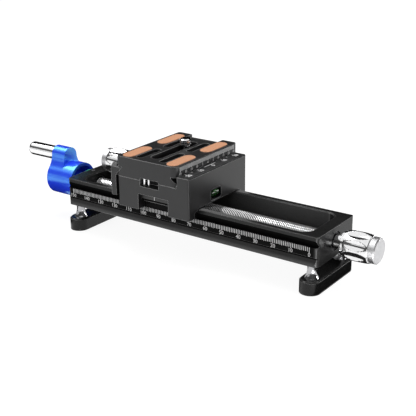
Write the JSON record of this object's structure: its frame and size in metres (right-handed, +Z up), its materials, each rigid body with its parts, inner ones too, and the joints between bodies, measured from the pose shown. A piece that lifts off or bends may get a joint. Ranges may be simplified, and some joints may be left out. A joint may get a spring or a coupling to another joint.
{
  "type": "macro focusing rail",
  "caption": "Screw-driven focusing rail: a scaled black rail on two feet, a crank and knob that turn the lead screw, and a carriage with a quick-release camera plate.",
  "frame": {"origin": "mouth of the quarter-inch tripod socket, in the middle of the rail's underside", "axes": "+X along the rail from the crank end to the focus knob end, +Y across it away from the scale side, +Z up towards the camera plate"},
  "size_m": [0.2267, 0.0543, 0.0563],
  "materials": {
    "black_anodised": "fine matt black anodising",
    "rail_black": "satin black anodising",
    "blue_anodised": "glossy blue anodising",
    "green_washer": "smooth green",
    "bright_steel": "polished",
    "satin_steel": "turned satin",
    "dark_steel": "black oxide",
    "cap_grey": "bead-blasted light grey",
    "brass": "turned",
    "gib_plastic": "smooth, low friction",
    "foot_black": "satin black",
    "pad_tan": "fine-grained tan",
    "level_green": "clear green",
    "index_black": "matt black"
  },
  "bodies": {
    "base": {"rail_body": "rail_black", "left_bearing_bush": "brass", "right_bearing_bush": "dark_steel", "bearing_set_screw": "satin_steel", "left_foot": "foot_black", "right_foot": "foot_black", "left_foot_pillars": "bright_steel", "right_foot_pillars": "bright_steel", "foot_screws": "dark_steel"},
    "drive": {"lead_screw": "bright_steel", "thrust_washer": "green_washer", "lock_nut": "satin_steel", "crank_arm": "blue_anodised", "crank_set_screw": "dark_steel", "handle_axle": "dark_steel", "focus_knob": "bright_steel", "focus_knob_cap": "cap_grey"},
    "crank_handle": {"crank_handle": "bright_steel"},
    "carriage": {"carriage_block": "black_anodised", "index_plate": "index_black", "level_bezel": "satin_steel", "level_vial": "level_green", "front_gib": "gib_plastic", "rear_gib": "gib_plastic", "gib_screws": "dark_steel", "drive_nut": "brass", "nut_screws": "dark_steel", "stop_pins": "bright_steel", "jaw_guide_pins": "satin_steel"},
    "clamp_jaw": {"clamp_jaw": "black_anodised"},
    "clamp_knob": {"clamp_screw": "satin_steel", "clamp_washer": "satin_steel", "clamp_clip": "dark_steel", "clamp_knob": "bright_steel", "clamp_knob_cap": "cap_grey"},
    "plate": {"quick_release_plate": "black_anodised", "front_left_pad": "pad_tan", "back_left_pad": "pad_tan", "front_right_pad": "pad_tan", "back_right_pad": "pad_tan"},
    "slot_retainer": {"slot_retainer": "gib_plastic"},
    "camera_screw": {"camera_screw": "bright_steel"}
  },
  "joints": [
    {"name": "carriage_slide", "type": "slide", "parent": "base", "child": "carriage", "axis": [1, 0, 0], "range_m": [-0.015, 0.066]},
    {"name": "screw_turn", "type": "hinge", "parent": "base", "child": "drive", "pos_m": [0, 0, 0.0077], "axis": [1, 0, 0], "range_deg": [-23764, 5404]},
    {"name": "handle_spin", "type": "hinge", "parent": "drive", "child": "crank_handle", "pos_m": [-0.115, 0, 0.0209], "axis": [1, 0, 0], "continuous": true},
    {"name": "clamp_slide", "type": "slide", "parent": "carriage", "child": "clamp_jaw", "axis": [1, 0, 0], "range_m": [-0.0035, 0]},
    {"name": "clamp_turn", "type": "hinge", "parent": "clamp_jaw", "child": "clamp_knob", "pos_m": [-0.05, 0, 0.024], "axis": [1, 0, 0], "range_deg": [-1804, 4]},
    {"name": "plate_slide", "type": "slide", "parent": "carriage", "child": "plate", "axis": [0, 1, 0], "range_m": [-0.0085, 0.006]},
    {"name": "camera_screw_slide", "type": "slide", "parent": "plate", "child": "slot_retainer", "axis": [0, 1, 0], "range_m": [-0.0244, 0.0048]},
    {"name": "camera_screw_turn", "type": "hinge", "parent": "slot_retainer", "child": "camera_screw", "pos_m": [-0.01675, 0.0083, 0.035], "axis": [0, 0, 1], "continuous": true}
  ],
  "couplings": [
    {"joint": "screw_turn", "follows": "carriage_slide", "rad_per_m": -6283.2},
    {"joint": "clamp_turn", "follows": "clamp_slide", "rad_per_m": 8976}
  ]
}
